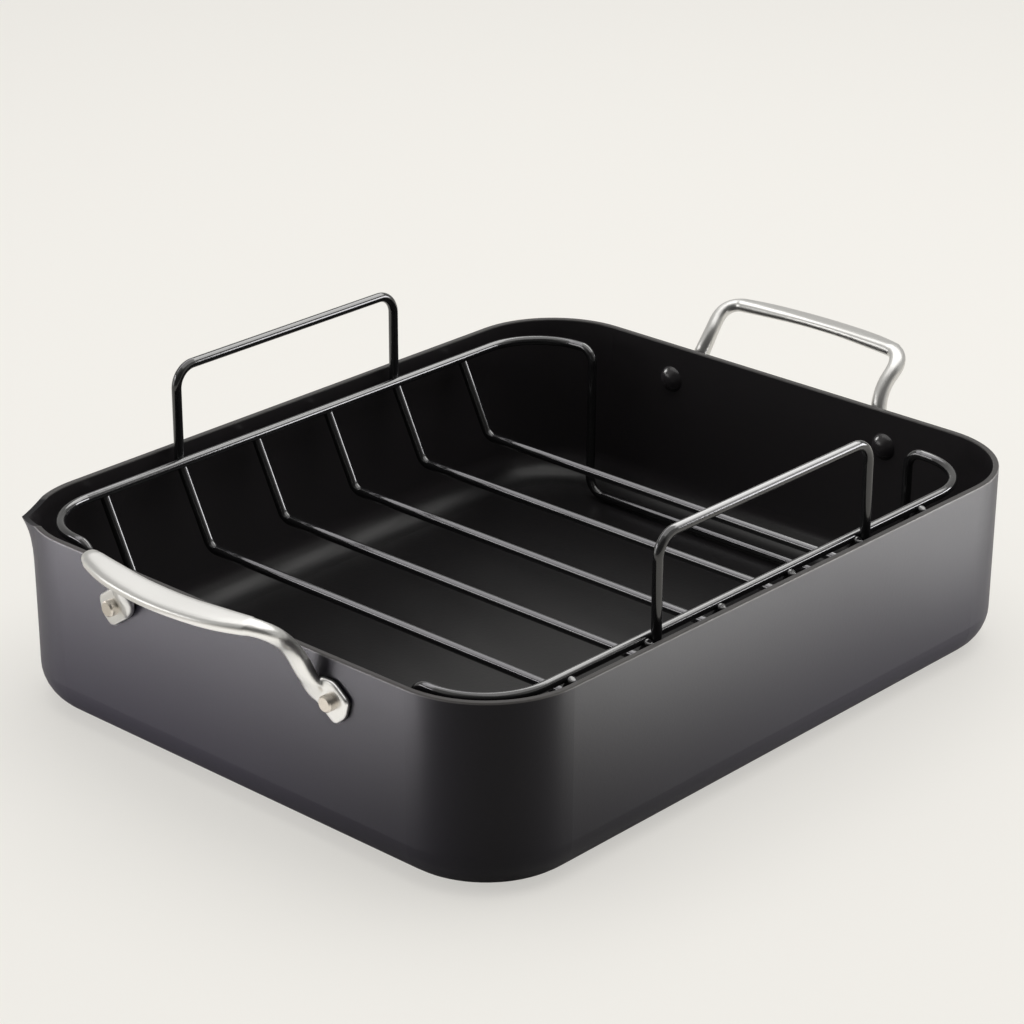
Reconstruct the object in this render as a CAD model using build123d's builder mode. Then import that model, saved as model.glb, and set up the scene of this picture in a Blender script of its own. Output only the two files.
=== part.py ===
from build123d import *
from math import cos, radians, sin, sqrt, tan
import os

os.makedirs("parts", exist_ok=True)

# A deep rectangular roasting pan with a pouring spout in one corner, two riveted
# loop handles, and a lift-out rack of welded wire. Millimetres, +Z up, X along the
# pan's long side, origin at the middle of the base.

# Pan body
pan_length = 400.0
pan_width = 330.0
pan_height = 95.0
wall = 3.0
corner_radius = 51.5
base_radius = 19.4
wall_draft = 0.42            # degrees, each wall leans out towards the rim
rim_round = 0.7

# Pouring spout, pressed out of one upper corner
spout_angle = 135.0          # degrees, its direction seen from above
spout_half_angle = 22.0      # degrees, each flank seen from the corner's centre
spout_reach = 6.3
spout_depth = 23.0
spout_dip = 3.0              # how far the rim sinks at the lip
flank_power = 1.8
lip_power = 2.0
flank_points = 4
spout_levels = 5

# Rivets
rivet_spacing = 143.0
rivet_below_rim = 19.5
shank_radius = 4.0
shank_clearance = 0.1
head_radius = 7.3
head_height = 4.0
tail_length = 4.0
tail_round = 0.8

# Handle pads, a shield shape measured from the rivet, outwards and up
pad_thickness = 3.2
pad_bevel = 0.9
pad_corner_round = 1.6
pad_tip = (3.5, -11.2)
pad_outer = (11.0, 2.5)
pad_crown = (-1.0, 10.5)
pad_neck = (-8.5, 7.5)
pad_inner = (-9.5, -2.0)
pad_bulge = (9.2, -5.4)

# Pan handles, measured from the wall, the rivet line and the rivet height
root_inset = 3.5
root_rise = 3.5
knee_reach = 8.6
knee_inset = 13.0
knee_rise = 16.5
shoulder_reach = 28.6
shoulder_inset = 12.5
grip_rise = 38.5
crown_reach = 45.6           # where the two halves of the grip would meet if straight
knee_radius = 16.0
bend_radius = 11.0
bow_straight = 3.3           # straight bar left between a bend and the bow
root_width = 10.0
root_thickness = 2.4
root_round = 1.0
leg_size = 6.2
leg_round = 1.9
grip_end_width = 10.2
grip_width = 12.6
grip_thickness = 4.4
grip_round = 1.9
grip_tilt = 11.0             # degrees, the outer edge lies lower
leg_start = 12.0             # along the handle from its root
leg_end = 33.0
grip_start = 53.0
handle_stations = 14         # sections in each half of a handle

# Wire rack
wire = 5.0
rack_end_play = 15.5
rack_side_play = 9.35
rack_shift_x = -5.3          # where the rack happens to stand in the pan
rack_shift_y = 2.0
rail_below_rim = 5.7
rail_corner_radius = 35.0
drop_bend_radius = 8.0
drop_straight = 1.1          # straight wire between the two bends at a corner
foot_bend_radius = 10.0
foot_tuck = 1.0
seat_gap = 0.3
weld_sink = 1.3

# Cross wires of the rack
rung_count = 6
rung_row_end_gap = 51.5      # from the rack's end to its first cross wire
rung_row_shift = -2.7
rung_below_rail = 42.0
rung_slope = 27.0            # degrees from upright
rung_bend_radius = 7.0
rung_end = 2.0               # length past the weld
short_rung_end = -1.0        # the same where a lifting handle stands on the weld
rung_end_round = 1.5

# Lifting handles of the rack
rungs_past_handle_count = 1  # cross wires between a handle's leg and the rack's end
lift_rise = 49.0
lift_bend_radius = 11.0
front_leg_tail = 5.0
front_leg_gap = 0.1
back_leg_tail = 1.0
back_leg_shift = -0.5
leg_end_round = 0.8

# Sizes that follow from those above
wire_radius = wire / 2
rivet_z = pan_height - rivet_below_rim
spout_start = pan_height - spout_depth
lip_z = pan_height - spout_dip
rail_z = pan_height - rail_below_rim
rail_y = pan_width / 2 - wall - rack_side_play - wire_radius
rail_end = pan_length / 2 - wall - rack_end_play - wire_radius
drop_y = rail_y - rail_corner_radius - drop_straight - drop_bend_radius
weld_offset = wire - weld_sink


def inset_at(height):
    return (pan_height - height) * tan(radians(wall_draft))


# The pan's plan shape, and the spout's corner in it

spout_centre = Vector(corner_radius - pan_length / 2, pan_width / 2 - corner_radius)


def spout_section(offset, height):
    radius = corner_radius - offset - inset_at(height)
    share_up = max(0.0, height - spout_start) / spout_depth
    lip = spout_reach * share_up**lip_power

    def rim_point(angle):
        share = 1 - abs(angle - spout_angle) / spout_half_angle
        reach = radius + lip * max(0.0, share) ** flank_power
        turn = radians(angle)
        return spout_centre + Vector(cos(turn), sin(turn)) * reach

    first = spout_angle - 45
    last = spout_angle + 45
    flank_start = spout_angle - spout_half_angle
    flank_end = spout_angle + spout_half_angle
    plain = 45 - spout_half_angle
    step = spout_half_angle / flank_points
    rising = [rim_point(flank_start + step * index) for index in range(flank_points + 1)]
    falling = [rim_point(spout_angle + step * index) for index in range(flank_points + 1)]
    start_turn = radians(flank_start + 90)
    end_turn = radians(flank_end + 90)
    start_way = Vector(cos(start_turn), sin(start_turn))
    end_way = Vector(cos(end_turn), sin(end_turn))
    lip_in = rising[-1] - rising[-2]
    lip_out = falling[1] - falling[0]
    with BuildSketch(Plane.XY.offset(height)) as section:
        with BuildLine():
            Line(spout_centre, rim_point(first))
            CenterArc(spout_centre, radius, first, plain)
            if lip == 0:
                CenterArc(spout_centre, radius, flank_start, spout_half_angle)
                CenterArc(spout_centre, radius, spout_angle, spout_half_angle)
            else:
                Spline(rising, tangents=(start_way, lip_in.normalized()))
                Spline(falling, tangents=(lip_out.normalized(), end_way))
            CenterArc(spout_centre, radius, flank_end, plain)
            Line(rim_point(last), spout_centre)
        make_face()
    return section.sketch


def vessel(offset, floor, floor_radius):
    corner_x = pan_length / 2 - corner_radius
    corner_y = pan_width / 2 - corner_radius
    corner_block = Plane((-corner_x - corner_radius, corner_y + corner_radius, spout_start))
    sections = []
    for level in range(spout_levels):
        height = spout_start + spout_depth * level / (spout_levels - 1)
        sections.append(spout_section(offset, height))
    with BuildPart() as form:
        with BuildSketch(Plane.XY.offset(pan_height)):
            length = pan_length - 2 * offset
            width = pan_width - 2 * offset
            RectangleRounded(length, width, corner_radius - offset)
        extrude(amount=floor - pan_height, taper=wall_draft)
        fillet(form.faces().sort_by(Axis.Z)[0].edges(), floor_radius)
        with BuildSketch(corner_block):
            Rectangle(2 * corner_radius, 2 * corner_radius)
        extrude(amount=spout_depth, mode=Mode.SUBTRACT)
        loft(sections=sections)
    return form.part


# Pan body: one pressed shell

outer_form = vessel(0.0, 0.0, base_radius)
cavity_form = vessel(wall, wall, base_radius - wall)

dip_half_width = corner_radius * sin(radians(spout_half_angle))
dip_radius = (dip_half_width**2 + spout_dip**2) / (2 * spout_dip)
dip_way = Vector(cos(radians(spout_angle)), sin(radians(spout_angle)))
dip_centre = spout_centre + Vector(0, 0, lip_z + dip_radius)
dip_plane = Plane(dip_centre, z_dir=dip_way)


def wall_plane(side):
    lean = radians(wall_draft)
    face = Vector(side * (pan_length / 2 - inset_at(rivet_z)), 0, rivet_z)
    return Plane(face, x_dir=(0, side, 0), z_dir=(side * cos(lean), 0, -sin(lean)))


with BuildPart() as pan_body:
    add(outer_form)
    add(cavity_form, mode=Mode.SUBTRACT)
    fillet(pan_body.faces().sort_by(Axis.Z)[-1].edges(), rim_round)
    with BuildSketch(dip_plane):
        Circle(dip_radius)
    extrude(amount=2 * corner_radius, mode=Mode.SUBTRACT)
    for side in (-1, 1):
        with BuildSketch(wall_plane(side).offset(wall)):
            with GridLocations(rivet_spacing, 0, 2, 1):
                Circle(shank_radius + shank_clearance)
        extrude(amount=-3 * wall, mode=Mode.SUBTRACT)

pan_body.part.label = "pan_body"
export_step(pan_body.part, "parts/pan_body.step")


# Pan handles: a loop of bar whose flattened ends are the riveted pads

handle_wall = wall_plane(1)
wall_x = handle_wall.origin.X
rivet_y = rivet_spacing / 2
root = Vector(wall_x + pad_thickness / 2, rivet_y - root_inset, rivet_z + root_rise)
knee = Vector(wall_x + knee_reach, rivet_y - knee_inset, rivet_z + knee_rise)
shoulder = Vector(wall_x + shoulder_reach, rivet_y - shoulder_inset, rivet_z + grip_rise)
crown = Vector(wall_x + crown_reach, 0, rivet_z + grip_rise)


def other_end(point):
    return Vector(point.X, -point.Y, point.Z)


leg_way = (shoulder - knee).normalized()
grip_way = (crown - shoulder).normalized()
shoulder_turn = radians(leg_way.get_angle(grip_way))
bow_turn = radians(grip_way.get_angle(other_end(grip_way) * -1))
bend_length = bend_radius * tan(shoulder_turn / 2)
bow_length = (crown - shoulder).length - bend_length - bow_straight
bow_radius = bow_length / tan(bow_turn / 2)

handle_points = [root, knee, shoulder, crown]
handle_points += [other_end(point) for point in (shoulder, knee, root)]
handle_radii = [knee_radius, bend_radius, bow_radius, bend_radius, knee_radius]
with BuildLine() as handle_line:
    FilletPolyline(handle_points, radius=handle_radii)
handle_path = handle_line.wire()
handle_half = handle_path.length / 2


def between(distance, stops):
    for (low, low_value), (high, high_value) in zip(stops, stops[1:]):
        if distance <= high:
            share = (distance - low) / (high - low)
            ease = share * share * (3 - 2 * share)
            return low_value + (high_value - low_value) * ease
    return stops[-1][1]


outward_stops = [
    (0.0, root_thickness),
    (leg_start, leg_size),
    (leg_end, leg_size),
    (grip_start, grip_end_width),
    (handle_half, grip_width),
]
crosswise_stops = [
    (0.0, root_width),
    (leg_start, leg_size),
    (leg_end, leg_size),
    (grip_start, grip_thickness),
    (handle_half, grip_thickness),
]
round_stops = [
    (0.0, root_round),
    (leg_start, leg_round),
    (leg_end, leg_round),
    (grip_start, grip_round),
    (handle_half, grip_round),
]
tilt_stops = [(0.0, 0.0), (leg_end, 0.0), (grip_start, grip_tilt), (handle_half, grip_tilt)]


def handle_section(distance):
    point = handle_path.position_at(distance, PositionMode.LENGTH)
    way = handle_path.tangent_at(distance, PositionMode.LENGTH)
    from_root = min(distance, 2 * handle_half - distance)
    outward = Vector(1, 0, 0) - way * way.X
    flat = Plane(point, x_dir=outward, z_dir=way)
    tilted = flat.rotated((0, 0, -between(from_root, tilt_stops)))
    with BuildSketch(tilted) as section:
        size_out = between(from_root, outward_stops)
        size_across = between(from_root, crosswise_stops)
        RectangleRounded(size_out, size_across, between(from_root, round_stops))
    return section.sketch


station_step = handle_half / handle_stations
handle_sections = [
    handle_section(station_step * index) for index in range(2 * handle_stations + 1)
]

with BuildPart() as pan_handle_right:
    for side in (-1, 1):
        with BuildSketch(handle_wall):
            with BuildLine():
                spots = (pad_outer, pad_crown, pad_neck, pad_inner, pad_tip)
                corners = [(side * (rivet_y + out), up) for out, up in spots]
                bulge = (side * (rivet_y + pad_bulge[0]), pad_bulge[1])
                Polyline(corners)
                ThreePointArc(corners[-1], bulge, corners[0])
            make_face()
        extrude(amount=pad_thickness)
    upright_edges = pan_handle_right.edges().filter_by(Axis(handle_wall.origin, handle_wall.z_dir))
    fillet(upright_edges, pad_corner_round)
    pad_faces = pan_handle_right.faces().sort_by(Axis.X)[-2:]
    chamfer(pad_faces.edges(), pad_bevel)
    loft(sections=handle_sections)
    with BuildSketch(handle_wall):
        with GridLocations(rivet_spacing, 0, 2, 1):
            Circle(shank_radius + shank_clearance)
    extrude(amount=pad_thickness + tail_length + leg_size, mode=Mode.SUBTRACT)

pan_handle_right.part.label = "pan_handle_right"
export_step(pan_handle_right.part, "parts/pan_handle_right.step")

with BuildPart() as pan_handle_left:
    mirror(pan_handle_right.part, about=Plane.YZ)

pan_handle_left.part.label = "pan_handle_left"
export_step(pan_handle_left.part, "parts/pan_handle_left.step")


# Rivets: a domed head inside the pan, a shank, and a stub of it outside the pad

for side, side_name in ((-1, "left"), (1, "right")):
    for row, row_name in ((-1, "front"), (1, "back")):
        seat = wall_plane(side)
        centre = seat.origin + Vector(0, row * rivet_y, 0)
        profile = Plane(centre, x_dir=seat.z_dir, z_dir=seat.x_dir)
        stub_end = pad_thickness + tail_length
        with BuildPart() as rivet:
            with BuildSketch(profile):
                with BuildLine():
                    Line((stub_end, 0), (-wall - head_height, 0))
                    dome_height = head_height * 0.72
                    dome_at = (-wall - dome_height, head_radius * 0.62)
                    ThreePointArc((-wall - head_height, 0), dome_at, (-wall, head_radius))
                    Polyline(
                        (-wall, head_radius),
                        (-wall, shank_radius),
                        (stub_end - tail_round, shank_radius),
                    )
                    Line((stub_end - tail_round, shank_radius), (stub_end, shank_radius - tail_round))
                    Line((stub_end, shank_radius - tail_round), (stub_end, 0))
                make_face()
            revolve(axis=Axis(centre, seat.z_dir))
        rivet_name = f"rivet_{side_name}_{row_name}"
        rivet.part.label = rivet_name
        export_step(rivet.part, f"parts/{rivet_name}.step")


# Rack frame: one closed loop of wire, two rails and a dropped foot at each end

floor_radius = base_radius - wall
floor_end = pan_length / 2 - wall - inset_at(wall) - floor_radius
foot_half = rail_end - foot_tuck
foot_over = max(0.0, foot_half + abs(rack_shift_x) - floor_end)
seat_radius = floor_radius - wire_radius - seat_gap
foot_z = wall + floor_radius - sqrt(seat_radius**2 - foot_over**2)


def in_rack(x, y, z):
    return Vector(x + rack_shift_x, y + rack_shift_y, z)


right_end = [
    (rail_end, -rail_y, rail_z),
    (rail_end, -drop_y, rail_z),
    (foot_half, -drop_y, foot_z),
    (foot_half, drop_y, foot_z),
    (rail_end, drop_y, rail_z),
    (rail_end, rail_y, rail_z),
]
left_end = [(-x, -y, z) for x, y, z in right_end]
end_radii = [
    rail_corner_radius,
    drop_bend_radius,
    foot_bend_radius,
    foot_bend_radius,
    drop_bend_radius,
    rail_corner_radius,
]

with BuildPart() as rack_frame:
    with BuildLine() as loop:
        corners = [in_rack(*corner) for corner in right_end + left_end]
        FilletPolyline(corners, radius=end_radii * 2, close=True)
    with BuildSketch(Plane(loop.wire() @ 0, z_dir=loop.wire() % 0)):
        Circle(wire_radius)
    sweep(path=loop.wire())

rack_frame.part.label = "rack_frame"
export_step(rack_frame.part, "parts/rack_frame.step")


# Cross wires: each hangs between the rails like a shallow trough

slope = radians(rung_slope)
weld_y = rail_y + weld_offset * cos(slope)
weld_z = rail_z - weld_offset * sin(slope)
rung_z = rail_z - rung_below_rail
rung_pitch = 2 * (rail_end - rung_row_end_gap) / (rung_count - 1)
handle_rungs = (rungs_past_handle_count, rung_count - 1 - rungs_past_handle_count)
trough_y = weld_y - (weld_z - rung_z) * tan(slope)
rung_row = [
    rung_row_shift + rung_pitch * (index - (rung_count - 1) / 2) for index in range(rung_count)
]
rungs = []

for index, rung_x in enumerate(rung_row):
    back_end = short_rung_end if index in handle_rungs else rung_end
    with BuildPart() as cross_wire:
        with BuildLine() as trough:
            FilletPolyline(
                in_rack(rung_x, -weld_y - rung_end * sin(slope), weld_z + rung_end * cos(slope)),
                in_rack(rung_x, -trough_y, rung_z),
                in_rack(rung_x, trough_y, rung_z),
                in_rack(rung_x, weld_y + back_end * sin(slope), weld_z + back_end * cos(slope)),
                radius=rung_bend_radius,
            )
        with BuildSketch(Plane(trough.wire() @ 0, z_dir=trough.wire() % 0)):
            Circle(wire_radius)
        sweep(path=trough.wire())
        fillet(cross_wire.faces().filter_by(GeomType.PLANE).edges(), rung_end_round)
        add(rack_frame.part, mode=Mode.SUBTRACT)
    cross_wire.part.label = f"cross_wire_{index + 1}"
    export_step(cross_wire.part, f"parts/cross_wire_{index + 1}.step")
    rungs.append(cross_wire.part)


# Lifting handles: a bail of the same wire welded outside each rail

leg_y = rail_y + weld_offset
lift_z = rail_z + lift_rise
carriers = [rung_row[index] for index in handle_rungs]

for side, name, shift, tail in (
    (-1, "rack_handle_front", wire + front_leg_gap, front_leg_tail),
    (1, "rack_handle_back", back_leg_shift, back_leg_tail),
):
    left_x = carriers[0] + shift
    right_x = carriers[1] + shift
    with BuildPart() as rack_handle:
        with BuildLine() as bail:
            FilletPolyline(
                in_rack(left_x, side * leg_y, rail_z - tail),
                in_rack(left_x, side * leg_y, lift_z),
                in_rack(right_x, side * leg_y, lift_z),
                in_rack(right_x, side * leg_y, rail_z - tail),
                radius=lift_bend_radius,
            )
        with BuildSketch(Plane(bail.wire() @ 0, z_dir=bail.wire() % 0)):
            Circle(wire_radius)
        sweep(path=bail.wire())
        fillet(rack_handle.faces().filter_by(GeomType.PLANE).edges(), leg_end_round)
        add(rack_frame.part, mode=Mode.SUBTRACT)
        add([rungs[index] for index in handle_rungs], mode=Mode.SUBTRACT)
    rack_handle.part.label = name
    export_step(rack_handle.part, f"parts/{name}.step")
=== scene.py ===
import bpy
import bmesh
import math
from mathutils import Matrix, Vector
from mathutils.geometry import interpolate_bezier


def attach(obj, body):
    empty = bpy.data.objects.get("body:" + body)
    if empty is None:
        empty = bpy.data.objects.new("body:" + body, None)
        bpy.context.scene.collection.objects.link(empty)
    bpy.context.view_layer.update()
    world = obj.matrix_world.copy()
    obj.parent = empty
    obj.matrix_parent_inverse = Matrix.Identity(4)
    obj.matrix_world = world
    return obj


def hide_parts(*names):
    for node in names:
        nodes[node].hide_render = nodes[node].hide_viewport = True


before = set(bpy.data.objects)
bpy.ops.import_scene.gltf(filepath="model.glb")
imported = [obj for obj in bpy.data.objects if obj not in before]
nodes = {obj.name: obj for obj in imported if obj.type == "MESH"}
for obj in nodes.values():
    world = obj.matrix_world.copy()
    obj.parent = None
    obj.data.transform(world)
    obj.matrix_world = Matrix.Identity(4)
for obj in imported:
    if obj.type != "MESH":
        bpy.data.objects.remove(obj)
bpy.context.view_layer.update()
print("packed model loaded:", len(nodes), "nodes")


# shader maths: a wrapped socket, so that masks and mixes read as sums

class Signal:
    def __init__(self, tree, socket):
        self.tree = tree
        self.socket = socket

    def maths(self, operation, first, second=0.0):
        step = self.tree.nodes.new("ShaderNodeMath")
        step.operation = operation
        plug(self.tree, step.inputs[0], first)
        plug(self.tree, step.inputs[1], second)
        return Signal(self.tree, step.outputs[0])

    def __add__(self, other):
        return self.maths("ADD", self, other)

    def __radd__(self, other):
        return self.maths("ADD", other, self)

    def __sub__(self, other):
        return self.maths("SUBTRACT", self, other)

    def __rsub__(self, other):
        return self.maths("SUBTRACT", other, self)

    def __mul__(self, other):
        return self.maths("MULTIPLY", self, other)

    def __rmul__(self, other):
        return self.maths("MULTIPLY", other, self)

    def __abs__(self):
        return self.maths("ABSOLUTE", self)


def plug(tree, socket, value):
    if isinstance(value, Signal):
        tree.links.new(value.socket, socket)
    elif isinstance(value, tuple) and len(value) == 3 and len(socket.default_value) == 4:
        socket.default_value = (*value, 1.0)  # a colour socket also takes an alpha
    else:
        socket.default_value = value


class Wiring:
    def __init__(self, tree):
        self.tree = tree

    def node(self, kind, settings, inputs, output=0):
        made = self.tree.nodes.new("ShaderNode" + kind)
        for key, value in settings.items():
            setattr(made, key, value)
        for key, value in inputs.items():
            plug(self.tree, made.inputs[key], value)
        return Signal(self.tree, made.outputs[output])

    def between(self, value, low, high, start=0.0, end=1.0):
        limits = {"From Min": low, "From Max": high, "To Min": start, "To Max": end}
        return self.node("MapRange", {"interpolation_type": "SMOOTHSTEP"},
                         {"Value": value, **limits})


class Finish(Wiring):
    def __init__(self, name, **constants):
        self.material = bpy.data.materials.new(name)
        self.material.use_nodes = True
        super().__init__(self.material.node_tree)
        self.shader = self.tree.nodes["Principled BSDF"]
        self.use(**constants)

    def use(self, **values):
        for socket, value in values.items():
            plug(self.tree, self.shader.inputs[socket.replace("_", " ")], value)
        return self.material

    def place(self):
        return self.node("TexCoord", {}, {}, "Object")

    def stretched(self, scale):
        return self.node("Mapping", {}, {"Vector": self.place(), "Scale": scale})

    def noise(self, scale, detail, vector=None):
        vector = vector or self.place()
        return self.node("TexNoise", {}, {"Vector": vector, "Scale": scale, "Detail": detail})

    def blend(self, factor, first, second):
        # sockets 0, 6 and 7 of a colour mix are its factor and its two colours
        return self.node("Mix", {"data_type": "RGBA"}, {0: factor, 6: first, 7: second}, 2)

    def bump(self, height, depth):
        return self.node("Bump", {}, {"Height": height, "Distance": depth})


def dress(names, material):
    for name in names:
        mesh = nodes[name].data
        mesh.materials.clear()
        mesh.materials.append(material)


# coating of the pan: hard grey outside, softer black inside with the inner walls painted lighter
# than the floor as painted light, and a lighter band of colour along the top of the rim

panCoat = {
    "outside": (0.0060, 0.0054, 0.0080),
    "insideFloor": (0.0085, 0.0078, 0.0085),
    # the inner walls are painted lighter than the inside floor: painted light on the walls
    "insideWallPaintedLight": (0.024, 0.0215, 0.0235),
    "rim": (0.09, 0.086, 0.085),
    "rimDull": (0.06, 0.057, 0.057),
    "rimHeight": (0.0938, 0.0944),
    "inwardFade": 0.004,
    "floorSlope": (0.3, 0.7),       # how far a face looks up to count as the floor
    "floorHeight": (0.06, 0.05),    # faces above this aren't the floor
    "refraction": 1.26,
    "outsideRough": 0.43,
    "insideRough": 0.36,
    "rimRough": 0.34,
    "cloudRough": 0.05,
    "insideGloss": 0.50,
    "glossRough": 0.27,
    "cloudScale": 14.0,
    "grainScale": 1400.0,
    "grainRelief": 0.4,
    "peelScale": 520.0,
    "peelOutside": 0.3,
    "peelInside": 1.0,
    "reliefDepth": 0.00006,
}


def panFinish(look):
    coat = Finish("panCoating", IOR=look["refraction"], Coat_Roughness=look["glossRough"])
    height = coat.node("SeparateXYZ", {}, {"Vector": coat.place()}, "Z")
    facing = coat.node("TexCoord", {}, {}, "Normal")
    upward = coat.node("SeparateXYZ", {}, {"Vector": facing}, "Z")
    outward = coat.node("VectorMath", {"operation": "DOT_PRODUCT"},
                        {0: facing, 1: coat.place()}, "Value")
    wallInside = coat.between(outward, look["inwardFade"], -look["inwardFade"])
    lookingUp = coat.between(upward, *look["floorSlope"])
    floorInside = lookingUp * coat.between(height, *look["floorHeight"])
    inside = coat.node("Math", {"operation": "MAXIMUM"}, {0: wallInside, 1: floorInside})
    # a lighter band of colour along the top of the rim
    rim = coat.between(height, *look["rimHeight"])
    cloud = coat.noise(look["cloudScale"], 3.0)
    grain = coat.noise(look["grainScale"], 1.0)
    peel = coat.noise(look["peelScale"], 2.0)
    # the inner walls get a lighter colour than the inside floor of the same coating: painted
    # light standing in for light the walls don't catch
    liningWithPaintedWallLight = coat.blend(floorInside, look["insideWallPaintedLight"], look["insideFloor"])
    shade = coat.blend(inside, look["outside"], liningWithPaintedWallLight)
    shade = coat.blend(rim, shade, coat.blend(cloud, look["rimDull"], look["rim"]))
    rough = look["outsideRough"] + inside * (look["insideRough"] - look["outsideRough"])
    rough = rough + rim * (look["rimRough"] - look["outsideRough"])
    rough = rough + (cloud - 0.5) * look["cloudRough"]
    peelRelief = look["peelOutside"] + inside * (look["peelInside"] - look["peelOutside"])
    relief = coat.bump(grain * look["grainRelief"] + peel * peelRelief, look["reliefDepth"])
    return coat.use(Base_Color=shade, Roughness=rough, Coat_Weight=inside * look["insideGloss"],
                    Normal=relief)


# satin steel of the pan's handles, drawn along the bar

steelLook = {
    "light": (0.73, 0.725, 0.71),
    "dark": (0.68, 0.675, 0.66),
    "rough": 0.32,
    "grain": (2200.0, 90.0, 2200.0),
    "grainShare": 0.6,
    "grainRough": 0.05,
    "cloudScale": 26.0,
    "cloudRough": 0.04,
    "reliefDepth": 0.00001,
}


def steelFinish(look):
    steel = Finish("satinSteel", Metallic=1.0)
    grain = steel.noise(1.0, 3.0, steel.stretched(look["grain"]))
    cloud = steel.noise(look["cloudScale"], 3.0)
    worn = grain * look["grainShare"] + cloud * (1.0 - look["grainShare"])
    shade = steel.blend(worn, look["dark"], look["light"])
    rough = look["rough"] + (grain - 0.5) * look["grainRough"]
    rough = rough + (cloud - 0.5) * look["cloudRough"]
    relief = steel.bump(grain, look["reliefDepth"])
    return steel.use(Base_Color=shade, Roughness=rough, Normal=relief)


# rivets: coated heads inside the pan, bare stubs outside

rivetLook = {
    "light": (0.70, 0.66, 0.60),
    "dark": (0.50, 0.45, 0.39),
    "head": (0.022, 0.020, 0.022),
    "wall": (0.1985, 0.1990),
    "headRough": 0.20,
    "stubRough": 0.34,
    "grainScale": 1800.0,
    "grainRough": 0.08,
    "reliefDepth": 0.00003,
}


def rivetFinish(look):
    rivet = Finish("rivetSteel")
    fromMiddle = abs(rivet.node("SeparateXYZ", {}, {"Vector": rivet.place()}, "X"))
    stub = rivet.between(fromMiddle, *look["wall"])
    grain = rivet.noise(look["grainScale"], 2.0)
    bare = rivet.blend(grain, look["dark"], look["light"])
    shade = rivet.blend(stub, look["head"], bare)
    rough = look["headRough"] + stub * (look["stubRough"] - look["headRough"])
    rough = rough + (grain - 0.5) * look["grainRough"]
    relief = rivet.bump(grain, look["reliefDepth"])
    return rivet.use(Base_Color=shade, Metallic=stub, Roughness=rough, Normal=relief)


# black coating of the rack's wires

wireLook = {
    "dark": (0.006, 0.006, 0.0065),
    "light": (0.012, 0.012, 0.0125),
    "refraction": 1.75,
    "rough": 0.12,
    "cloudScale": 60.0,
    "cloudRough": 0.06,
    "waveScale": 420.0,
    "reliefDepth": 0.00002,
}


def wireFinish(look):
    wire = Finish("wireCoating", IOR=look["refraction"])
    cloud = wire.noise(look["cloudScale"], 3.0)
    wave = wire.noise(look["waveScale"], 1.0)
    shade = wire.blend(cloud, look["dark"], look["light"])
    rough = look["rough"] + (cloud - 0.5) * look["cloudRough"]
    relief = wire.bump(wave, look["reliefDepth"])
    return wire.use(Base_Color=shade, Roughness=rough, Normal=relief)


rackNodes = ["rack_frame", "rack_handle_front", "rack_handle_back"]
rackNodes += [f"cross_wire_{number}" for number in range(1, 7)]
rivetNodes = [name for name in nodes if name.startswith("rivet")]
dress(["pan_body"], panFinish(panCoat))
dress(rivetNodes, rivetFinish(rivetLook))
dress(rackNodes, wireFinish(wireLook))
print("finishes assigned")


# pan handles: a loop of bar, flat at the grip and round at the legs, on a riveted pad at each end

panHandle = {
    "wall": 0.19991,                # outer face of the pan's end wall
    # middle line of the bar from the pad up to the middle of the grip, x from the wall
    "corners": ((0.0008, 0.0680, 0.0755), (0.0032, 0.0618, 0.0792), (0.0119, 0.0577, 0.1000),
                (0.0277, 0.0601, 0.1148), (0.0453, 0.0, 0.1134)),
    "reach": (0.0035, 0.0080, 0.0118, 0.0543),    # from a corner to the ends of its bend
    "bendPull": 0.64,
    "bendPoints": 33,
    "spacing": 0.0020,
    "barSides": 32,
    # thickness of the bar in its two directions, by the distance along it from the pad
    "outward": ((0.0, 0.0026), (0.008, 0.0058), (0.018, 0.0080), (0.036, 0.0082),
                (0.046, 0.0088), (0.090, 0.0146), (0.116, 0.0150)),
    "across": ((0.0, 0.0124), (0.008, 0.0112), (0.018, 0.0088), (0.036, 0.0078),
               (0.056, 0.0070), (0.116, 0.0054)),
    # 2 gives an oval section, and more gives a squarer one
    "square": ((0.0, 2.6), (0.020, 2.2), (0.046, 2.05), (0.086, 3.0), (0.116, 3.4)),
    "tilt": 7.8,                    # degrees that the grip leans down to its outer edge
    "flatFade": (0.014, 0.030),     # where the bar stops lying flat on the wall
    "rivet": (0.0715, 0.0755),      # y and z of the rivet
    # outline of the pad round its rivet
    "shield": ((0.0020, -0.0112), (0.0085, -0.0058), (0.0105, 0.0028), (0.0010, 0.0098),
               (-0.0075, 0.0098), (-0.0102, 0.0030), (-0.0098, -0.0030)),
    "padCorner": 0.0022,
    "padThick": 0.0032,
    "padEdge": 0.0013,
    "mergeGap": 0.00001,
    "voxel": 0.00045,
    "softPasses": 26,
}


def eased(distance, stops):
    for (low, first), (high, second) in zip(stops, stops[1:]):
        if distance <= high:
            share = (distance - low) / (high - low)
            return first + (second - first) * share * share * (3.0 - 2.0 * share)
    return stops[-1][1]


def roundedPath(look):
    # straight runs, with a smooth bend at each inner corner and at the middle of the grip
    corners = [Vector((look["wall"] + x, y, z)) for x, y, z in look["corners"]]
    beyond = Vector((corners[-2].x, -corners[-2].y, corners[-2].z))
    marks = corners + [beyond]
    points = [corners[0]]
    for before, corner, after, length in zip(marks, marks[1:], marks[2:], look["reach"]):
        start = corner + (before - corner).normalized() * length
        end = corner + (after - corner).normalized() * length
        pulls = [mark.lerp(corner, look["bendPull"]) for mark in (start, end)]
        points += interpolate_bezier(start, *pulls, end, look["bendPoints"])
    middle = next(index for index, point in enumerate(points) if point.y <= 1e-6)
    return points[:middle] + [Vector((points[middle].x, 0.0, points[middle].z))]


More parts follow.
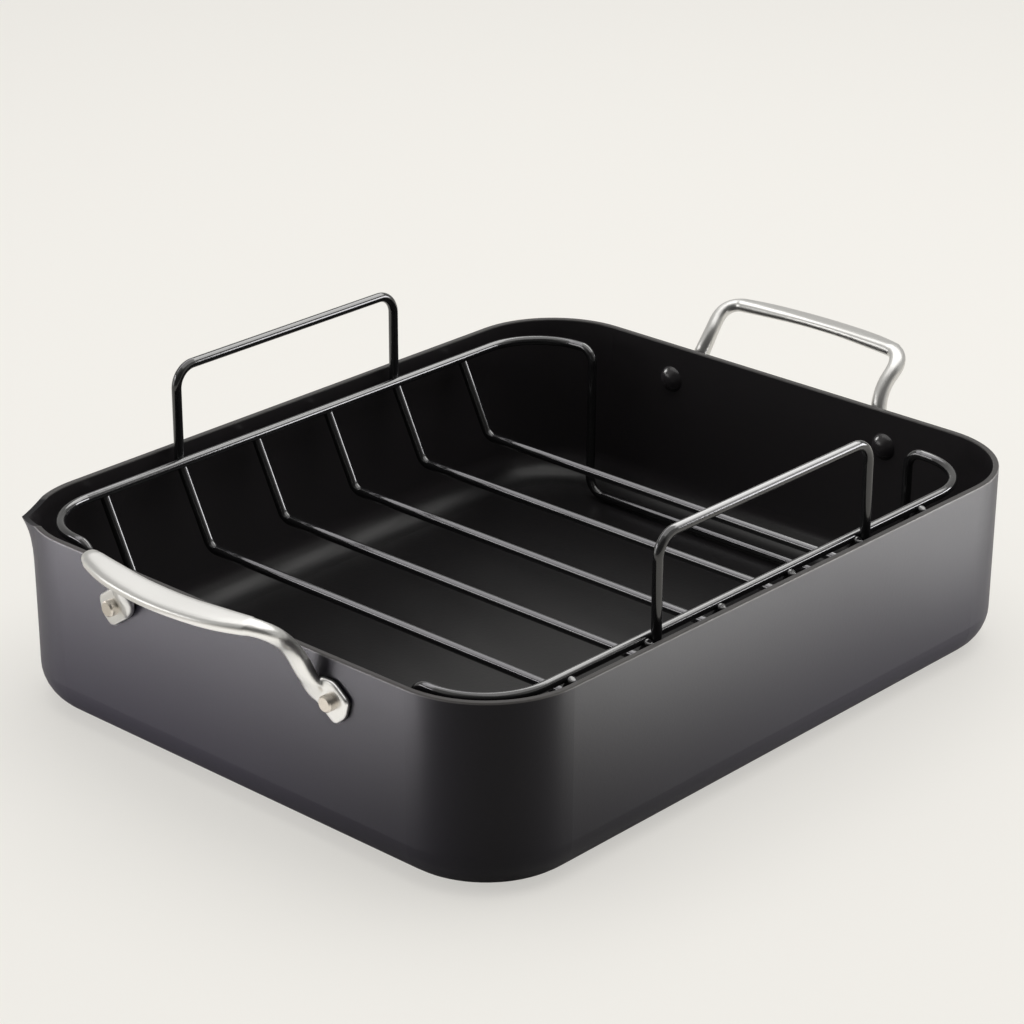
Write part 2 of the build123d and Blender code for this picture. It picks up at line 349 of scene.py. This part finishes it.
def walk(points, spacing):
    # even steps along the path, each with the distance gone
    total = sum((second - first).length for first, second in zip(points, points[1:]))
    count = round(total / spacing)
    stations, gone, index = [], 0.0, 0
    for number in range(count + 1):
        wanted = total * number / count
        way = points[index + 1] - points[index]
        while index < len(points) - 2 and gone + way.length < wanted:
            gone += way.length
            index += 1
            way = points[index + 1] - points[index]
        stations.append((wanted, points[index] + way.normalized() * (wanted - gone)))
    return stations


def barTurns(stations, look):
    # the bar keeps its faces round the bends, and only turns flat to the wall near the pad
    tilt = math.radians(look["tilt"])
    outward = Vector((math.cos(tilt), 0.0, -math.sin(tilt)))
    flatStart, flatEnd = look["flatFade"]
    last = len(stations) - 1
    turns = []
    for index in range(last, -1, -1):
        distance, place = stations[index]
        way = Vector((0.0, -1.0, 0.0))
        if index < last:
            way = (stations[index + 1][1] - stations[max(index - 1, 0)][1]).normalized()
        outward = (outward - way * outward.dot(way)).normalized()
        flat = (Vector((1.0, 0.0, 0.0)) - way * way.x).normalized()
        share = eased(max(distance, flatStart), ((flatStart, 1.0), (flatEnd, 0.0)))
        face = flat * share + outward * (1.0 - share)
        face = (face - way * face.dot(way)).normalized()
        turns.append(Matrix((face, way.cross(face), way)).transposed())
    return turns[::-1]


def layRing(ring, place, turn, look, distance):
    power = 2.0 / eased(distance, look["square"])
    half = (eased(distance, look["outward"]) / 2.0, eased(distance, look["across"]) / 2.0)
    for number, vert in enumerate(ring):
        angle = math.tau * number / len(ring)
        level = (math.cos(angle), math.sin(angle))
        spot = [math.copysign(abs(value) ** power, value) * size
                for value, size in zip(level, half)]
        vert.co = place + turn @ Vector((*spot, 0.0))


def addBar(form, look):
    stations = walk(roundedPath(look), look["spacing"])
    ring = bmesh.ops.create_circle(form, segments=look["barSides"], radius=0.003)["verts"]
    edges = list({edge for vert in ring for edge in vert.link_edges})
    for index, ((distance, place), turn) in enumerate(zip(stations, barTurns(stations, look))):
        if index:
            grown = bmesh.ops.extrude_edge_only(form, edges=edges)["geom"]
            fresh = {item for item in grown if isinstance(item, bmesh.types.BMVert)}
            edges = [item for item in grown if isinstance(item, bmesh.types.BMEdge)]
            ring = [next(edge.other_vert(vert) for edge in vert.link_edges
                         if edge.other_vert(vert) in fresh) for vert in ring]
        layRing(ring, place, turn, look, distance)
    padEnd = [edge for edge in form.edges if edge.is_boundary and edge.verts[0].co.y > 0.01]
    bmesh.ops.edgeloop_fill(form, edges=padEnd)


def addPad(form, look):
    sideways, upward = look["rivet"]
    outline = [form.verts.new((look["wall"], sideways + out, upward + up))
               for out, up in look["shield"]]
    form.faces.new(outline)
    rounded = bmesh.ops.bevel(form, geom=outline, offset=look["padCorner"],
                              affect="VERTICES", segments=4, profile=0.5, material=-1)
    shield = {face for vert in rounded["verts"] for face in vert.link_faces}
    pad = bmesh.ops.extrude_face_region(form, geom=list(shield))["geom"]
    top = [item for item in pad if isinstance(item, bmesh.types.BMVert)]
    bmesh.ops.translate(form, verts=top, vec=(look["padThick"], 0.0, 0.0))
    sides = {edge for vert in top for edge in vert.link_edges}
    bmesh.ops.bevel(form, geom=list(sides), offset=look["padEdge"],
                    affect="EDGES", segments=3, profile=0.5, material=-1)


def finishForm(form, name, material):
    mesh = bpy.data.meshes.new(name)
    form.to_mesh(mesh)
    form.free()
    mesh.materials.append(material)
    mesh.shade_smooth()
    piece = bpy.data.objects.new(name, mesh)
    bpy.context.scene.collection.objects.link(piece)
    return piece


def addHandle(name, side, look, material):
    form = bmesh.new()
    addBar(form, look)
    addPad(form, look)
    everything = form.verts[:] + form.edges[:] + form.faces[:]
    bmesh.ops.mirror(form, geom=everything, axis="Y", merge_dist=look["mergeGap"])
    bmesh.ops.scale(form, vec=(side, 1.0, 1.0), verts=form.verts)
    bmesh.ops.recalc_face_normals(form, faces=form.faces)
    piece = finishForm(form, name, material)
    merged = piece.modifiers.new("merged", "REMESH")
    merged.mode = "VOXEL"
    merged.voxel_size = look["voxel"]
    merged.use_smooth_shade = True
    softened = piece.modifiers.new("softened", "SMOOTH")
    softened.factor = 0.5
    softened.iterations = look["softPasses"]
    return piece


satinSteel = steelFinish(steelLook)
panHandles = []
for handleSide, handleNode in ((-1.0, "pan_handle_left"), (1.0, "pan_handle_right")):
    handle = addHandle(handleNode + "_bar", handleSide, panHandle, satinSteel)
    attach(handle, "pan")
    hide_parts(handleNode)
    panHandles.append(handle)
print("pan handles modelled")


# pale floor, which shines a little by itself where the camera sees it

floorPaper = {
    "size": 8.0,
    "light": (0.90, 0.882, 0.84),
    "dark": (0.86, 0.845, 0.81),
    "darkShare": 0.2,
    "cloudScale": 2.0,
    "rough": 0.9,
    "shine": 0.1,
    "glowShare": 0.55,
    "glowStrength": 1.06,
}


def floorFinish(look):
    paper = Finish("floorPaper", Roughness=look["rough"], Specular_IOR_Level=look["shine"])
    cloud = paper.noise(look["cloudScale"], 2.0)
    shade = paper.blend(cloud * look["darkShare"], look["light"], look["dark"])
    seen = paper.node("LightPath", {}, {}, "Is Camera Ray")
    glow = paper.node("Emission", {}, {"Color": shade, "Strength": look["glowStrength"]})
    matt = Signal(paper.tree, paper.shader.outputs[0])
    both = paper.node("MixShader", {}, {0: seen * look["glowShare"], 1: matt, 2: glow})
    plug(paper.tree, paper.tree.nodes["Material Output"].inputs["Surface"], both)
    return paper.use(Base_Color=shade)


def addFloor(look):
    form = bmesh.new()
    bmesh.ops.create_grid(form, x_segments=1, y_segments=1, size=look["size"])
    floor = finishForm(form, "floor", floorFinish(look))


addFloor(floorPaper)
print("floor laid")


# lamps: energy in watts, places and sizes in metres

warmWhite = (1.0, 0.99, 0.975)
coolWhite = (0.98, 0.97, 1.0)
violetWhite = (0.98, 0.95, 1.0)

lamps = {
    "overhead": {"energy": 17.0, "size": (2.1, 2.1), "colour": warmWhite,
                 "at": (0.40, 0.0, 1.5), "aim": (0.05, 0.0, 0.0)},
    "side": {"energy": 5.0, "size": (1.2, 0.8), "colour": warmWhite,
             "at": (-1.5, 1.4, 0.40), "aim": (-0.2, 0.0, 0.1)},
    # strips near the floor, which the pan's two near walls mirror
    "right": {"energy": 3.7, "size": (0.92, 0.03), "colour": warmWhite,
              "at": (0.42, -0.325, 0.015), "aim": (0.42, 0.0, 0.015)},
    "rightLow": {"energy": 0.5, "size": (0.70, 0.06), "colour": warmWhite,
                 "at": (0.52, -0.225, 0.012), "aim": (0.52, 0.0, 0.012)},
    "left": {"energy": 3.15, "size": (0.745, 0.03), "colour": violetWhite,
             "at": (-0.36, 0.328, 0.015), "aim": (0.0, 0.328, 0.015)},
    # lights that the glossy wires mirror as fine lines
    "line": {"energy": 8.0, "size": (1.3, 0.6), "colour": warmWhite,
             "at": (0.95, 0.10, 1.05), "aim": (0.0, 0.0, 0.05)},
    "wireBack": {"energy": 9.5, "size": (2.4, 0.6), "colour": violetWhite,
                 "at": (0.0, 1.2, 1.5), "aim": (0.0, 0.0, 0.05)},
    "wireLine": {"energy": 3.4, "size": (1.0, 0.18), "colour": violetWhite,
                 "at": (-1.12, 1.04, 0.70), "aim": (0.0, 0.0, 0.05)},
    "wireEdge": {"energy": 9.0, "size": (0.70, 0.45), "colour": coolWhite,
                 "at": (1.15, -0.80, 0.33), "aim": (0.0, 0.14, 0.07)},
    "lineFront": {"energy": 10.0, "size": (2.2, 0.7), "colour": warmWhite,
                  "at": (1.00, 0.0, 1.00), "aim": (0.0, 0.0, 0.05)},
    # small lights on the steel and on the rivets' heads
    "rivetSpot": {"energy": 5.0, "size": (0.35, 0.35), "colour": warmWhite,
                  "at": (-0.11, 1.11, 0.49), "aim": (0.197, 0.0, 0.075)},
    "steelTop": {"energy": 1.3, "size": (0.9, 0.9), "colour": warmWhite,
                 "at": (0.50, 0.93, 1.04), "aim": (-0.22, 0.0, 0.11)},
    "steelFill": {"energy": 0.3, "size": (0.35, 0.50), "colour": warmWhite,
                  "at": (-0.32, -0.15, 0.004), "aim": (-0.32, -0.15, 1.0)},
}


def addLamp(name, look):
    lamp = bpy.data.lights.new(name, "AREA")
    lamp.shape = "RECTANGLE"
    lamp.size, lamp.size_y = look["size"]
    lamp.energy = look["energy"]
    lamp.color = look["colour"]
    box = bpy.data.objects.new(name, lamp)
    bpy.context.scene.collection.objects.link(box)
    box.location = look["at"]
    way = Vector(look["aim"]) - Vector(look["at"])
    box.rotation_euler = way.to_track_quat("-Z", "Y").to_euler()
    box.visible_camera = False
    return box


def lightOnly(boxes, name, pieces):
    # flags around these lamps keep their light on the pieces
    group = bpy.data.collections.new(name)
    for piece in pieces:
        group.objects.link(piece)
    for box in boxes:
        box.light_linking.receiver_collection = group


boxes = {name: addLamp(name + "Lamp", look) for name, look in lamps.items()}
rivets = [nodes[name] for name in rivetNodes]
flagged = {
    "panOnly": (("right", "rightLow", "left"), [nodes["pan_body"]]),
    "rackOnly": (("line", "wireBack", "wireLine", "wireEdge"),
                 [nodes[name] for name in rackNodes]),
    "frontOnly": (("lineFront",), [nodes["rack_handle_front"]]),
    "rivetsOnly": (("rivetSpot",), rivets),
    "steelOnly": (("steelTop", "steelFill"), panHandles + rivets),
}
for groupName, (lampNames, litPieces) in flagged.items():
    lightOnly([boxes[name] for name in lampNames], groupName, litPieces)
print("lamps placed")


# air around the studio, dark behind the camera

studioAir = {
    "colour": (0.93, 0.92, 0.89),
    "strength": 0.60,
    "seenStrength": 0.9,
    "darkSide": (-0.735, -0.675, 0.0),
    "darkFade": (0.35, 0.75),
    "darkStrength": 0.10,
}


def addWorld(look):
    world = bpy.data.worlds.new("studioAir")
    bpy.context.scene.world = world
    world.use_nodes = True
    air = Wiring(world.node_tree)
    around = air.node("TexCoord", {}, {}, "Generated")
    behind = air.node("VectorMath", {"operation": "DOT_PRODUCT"},
                      {0: around, 1: look["darkSide"]}, "Value")
    strength = air.between(behind, *look["darkFade"], look["strength"], look["darkStrength"])
    seen = air.node("LightPath", {}, {}, "Is Camera Ray")
    strength = strength + seen * (look["seenStrength"] - strength)
    background = air.tree.nodes["Background"]
    plug(air.tree, background.inputs["Color"], look["colour"])
    plug(air.tree, background.inputs["Strength"], strength)


viewpoint = {
    "azimuth": -47.4479,
    "elevation": 23.3711,
    "roll": 0.1641,
    "distance": 1.539287,
    "target": (-0.047169, -0.035313, 0.105386),
    "lens": 115.18,
    "sensor": 36.0,
}


def addCamera(look):
    lens = bpy.data.cameras.new("camera")
    lens.lens = look["lens"]
    lens.sensor_width = look["sensor"]
    camera = bpy.data.objects.new("camera", lens)
    bpy.context.scene.collection.objects.link(camera)
    azimuth = math.radians(look["azimuth"])
    elevation = math.radians(look["elevation"])
    flat = math.cos(elevation)
    back = Vector((math.sin(azimuth) * flat, -math.cos(azimuth) * flat, math.sin(elevation)))
    turn = back.to_track_quat("Z", "Y").to_matrix().to_4x4()
    turn = turn @ Matrix.Rotation(math.radians(look["roll"]), 4, "Z")
    place = Vector(look["target"]) + back * look["distance"]
    camera.matrix_world = Matrix.Translation(place) @ turn
    bpy.context.scene.camera = camera


addWorld(studioAir)
addCamera(viewpoint)
bpy.context.scene.view_settings.view_transform = "Standard"
print("air and camera set")
